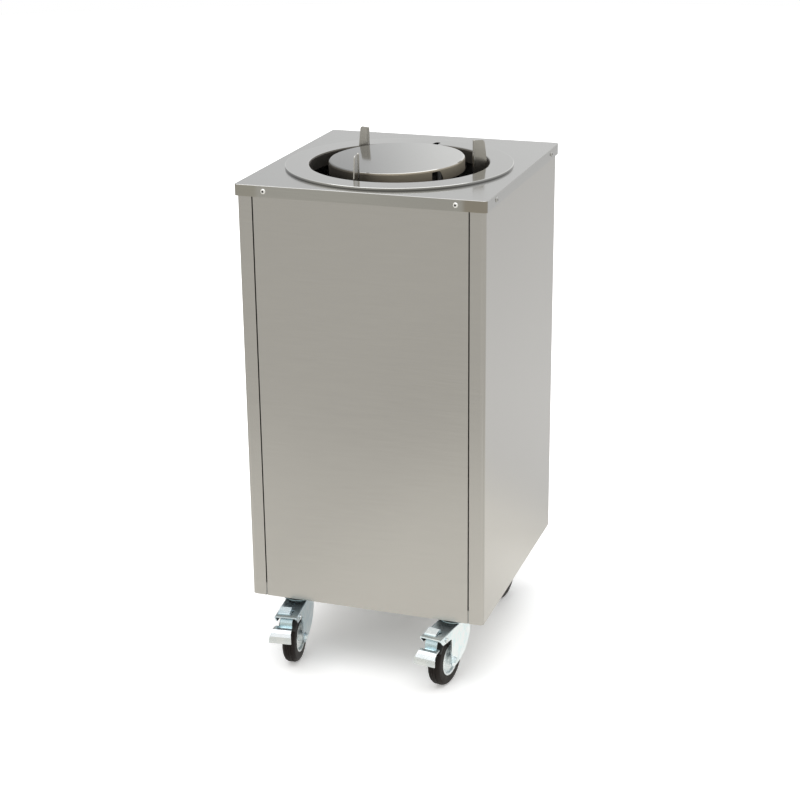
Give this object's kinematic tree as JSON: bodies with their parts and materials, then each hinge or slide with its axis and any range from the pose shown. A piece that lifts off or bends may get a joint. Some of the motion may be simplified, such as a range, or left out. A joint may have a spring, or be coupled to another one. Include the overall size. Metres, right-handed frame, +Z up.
{
  "type": "plate warmer cabinet",
  "caption": "Upright heated plate cabinet on four swivel casters, with one spring-lifted stack platform between three turning guide fins.",
  "frame": {"origin": "on the floor, at the centre of the whole object's footprint", "axes": "+Z up, -Y towards the front panel and the braked casters, +X to the viewer's right when facing the front"},
  "size_m": [0.4614, 0.5835, 0.965],
  "materials": {
    "panel_steel": "fine brushed",
    "lid_steel": "fine brushed",
    "ring_steel": "satin",
    "platform_steel": "satin polished",
    "fin_steel": "satin",
    "inner_steel": "plain sheet",
    "carrier_steel": "plain",
    "bright_rod": "ground",
    "spring_steel": "plain",
    "rivet": "bright",
    "screw": "bright",
    "zinc": "bright zinc",
    "zinc_blue": "blue passivated zinc",
    "rim_zinc": "bright zinc",
    "tyre": "matt",
    "shoe_rubber": "matt",
    "rail_steel": "plain",
    "heater": "heat darkened",
    "nylon": "natural",
    "black_plastic": "fine grained",
    "ceramic": "glazed",
    "rocker": "gloss",
    "lamp": "clear amber",
    "insulation": "felt"
  },
  "bodies": {
    "cabinet": {"left_side_shell": "panel_steel", "right_side_shell": "panel_steel", "front_panel": "panel_steel", "back_panel": "panel_steel", "lid": "lid_steel", "well_ring": "ring_steel", "lid_rivets": "rivet", "hanger_ring": "inner_steel", "fin_brackets": "inner_steel", "fin_sockets": "inner_steel", "guide_columns": "bright_rod", "lift_springs": "spring_steel", "spring_hooks": "screw", "inner_liner": "inner_steel", "insulation_mats": "insulation", "base_pan": "inner_steel", "caster_rails": "rail_steel", "caster_nuts": "screw", "caster_crowns": "zinc_blue", "caster_kingpins": "zinc_blue", "heater_tray": "inner_steel", "heater_element": "heater", "heater_clips": "inner_steel", "terminal_block": "ceramic", "control_plate": "panel_steel", "panel_screws": "screw", "thermostat": "black_plastic", "switch_case": "black_plastic", "indicator_lamp": "lamp", "cable_gland": "black_plastic"},
    "lift_carrier": {"lift_platform": "platform_steel", "carrier_post": "carrier_steel", "carrier_spider": "carrier_steel", "carrier_bushes": "nylon"},
    "thermostat_dial": {"thermostat_knob": "black_plastic"},
    "power_rocker": {"switch_rocker": "rocker"},
    "fin_1": {"guide_fin_1": "fin_steel"},
    "fin_2": {"guide_fin_2": "fin_steel"},
    "fin_3": {"guide_fin_3": "fin_steel"},
    "fork_fl": {"caster_fork_fl": "zinc", "caster_axle_fl": "zinc_blue"},
    "wheel_fl": {"caster_rim_fl": "rim_zinc", "caster_tyre_fl": "tyre"},
    "fork_fr": {"caster_fork_fr": "zinc", "caster_axle_fr": "zinc_blue"},
    "wheel_fr": {"caster_rim_fr": "rim_zinc", "caster_tyre_fr": "tyre"},
    "fork_rl": {"caster_fork_rl": "zinc", "caster_axle_rl": "zinc_blue"},
    "wheel_rl": {"caster_rim_rl": "rim_zinc", "caster_tyre_rl": "tyre"},
    "fork_rr": {"caster_fork_rr": "zinc", "caster_axle_rr": "zinc_blue"},
    "wheel_rr": {"caster_rim_rr": "rim_zinc", "caster_tyre_rr": "tyre"},
    "pedal_fl": {"brake_pedal_fl": "zinc", "brake_shoe_fl": "shoe_rubber"},
    "pedal_fr": {"brake_pedal_fr": "zinc", "brake_shoe_fr": "shoe_rubber"}
  },
  "joints": [
    {"name": "platform_lift", "type": "slide", "parent": "cabinet", "child": "lift_carrier", "axis": [0, 0, -1], "range_m": [0, 0.42], "stiffness_N_per_m": 700, "springref_m": -0.06, "deforming": ["lift_springs"]},
    {"name": "fin_1_turn", "type": "hinge", "parent": "cabinet", "child": "fin_1", "pos_m": [0.15151, 0.05549, 0.888], "axis": [0, 0, 1], "range_deg": [-16, 44]},
    {"name": "fin_2_turn", "type": "hinge", "parent": "cabinet", "child": "fin_2", "pos_m": [-0.11826, 0.10989, 0.888], "axis": [0, 0, 1], "range_deg": [-21, 39]},
    {"name": "fin_3_turn", "type": "hinge", "parent": "cabinet", "child": "fin_3", "pos_m": [-0.03266, -0.15035, 0.888], "axis": [0, 0, 1], "range_deg": [-16, 44]},
    {"name": "swivel_fl", "type": "hinge", "parent": "cabinet", "child": "fork_fl", "pos_m": [-0.1535, -0.1628, 0.116], "axis": [0, 0, 1], "continuous": true},
    {"name": "roll_fl", "type": "hinge", "parent": "fork_fl", "child": "wheel_fl", "pos_m": [-0.14926, -0.20056, 0.05], "axis": [0.9938, 0.1115, 0], "continuous": true},
    {"name": "swivel_fr", "type": "hinge", "parent": "cabinet", "child": "fork_fr", "pos_m": [0.1535, -0.1628, 0.116], "axis": [0, 0, 1], "continuous": true},
    {"name": "roll_fr", "type": "hinge", "parent": "fork_fr", "child": "wheel_fr", "pos_m": [0.14749, -0.20032, 0.05], "axis": [0.9874, -0.1582, 0], "continuous": true},
    {"name": "swivel_rl", "type": "hinge", "parent": "cabinet", "child": "fork_rl", "pos_m": [-0.1535, 0.2122, 0.116], "axis": [0, 0, 1], "continuous": true},
    {"name": "roll_rl", "type": "hinge", "parent": "fork_rl", "child": "wheel_rl", "pos_m": [-0.15681, 0.17434, 0.05], "axis": [0.9962, -0.0872, 0], "continuous": true},
    {"name": "swivel_rr", "type": "hinge", "parent": "cabinet", "child": "fork_rr", "pos_m": [0.1535, 0.2122, 0.116], "axis": [0, 0, 1], "continuous": true},
    {"name": "roll_rr", "type": "hinge", "parent": "fork_rr", "child": "wheel_rr", "pos_m": [0.14821, 0.17457, 0.05], "axis": [0.9903, -0.1392, 0], "continuous": true},
    {"name": "brake_fl", "type": "hinge", "parent": "fork_fl", "child": "pedal_fl", "pos_m": [-0.14547, -0.23435, 0.106], "axis": [0.9938, 0.1115, 0], "range_deg": [0, 14]},
    {"name": "brake_fr", "type": "hinge", "parent": "fork_fr", "child": "pedal_fr", "pos_m": [0.14211, -0.23389, 0.106], "axis": [0.9874, -0.1582, 0], "range_deg": [0, 14]},
    {"name": "thermostat_turn", "type": "hinge", "parent": "cabinet", "child": "thermostat_dial", "pos_m": [-0.06, 0.2747, 0.3], "axis": [0, -1, 0], "range_deg": [0, 270]},
    {"name": "power_switch", "type": "hinge", "parent": "cabinet", "child": "power_rocker", "pos_m": [0.02, 0.2632, 0.3], "axis": [1, 0, 0], "range_deg": [0, 16]}
  ]
}
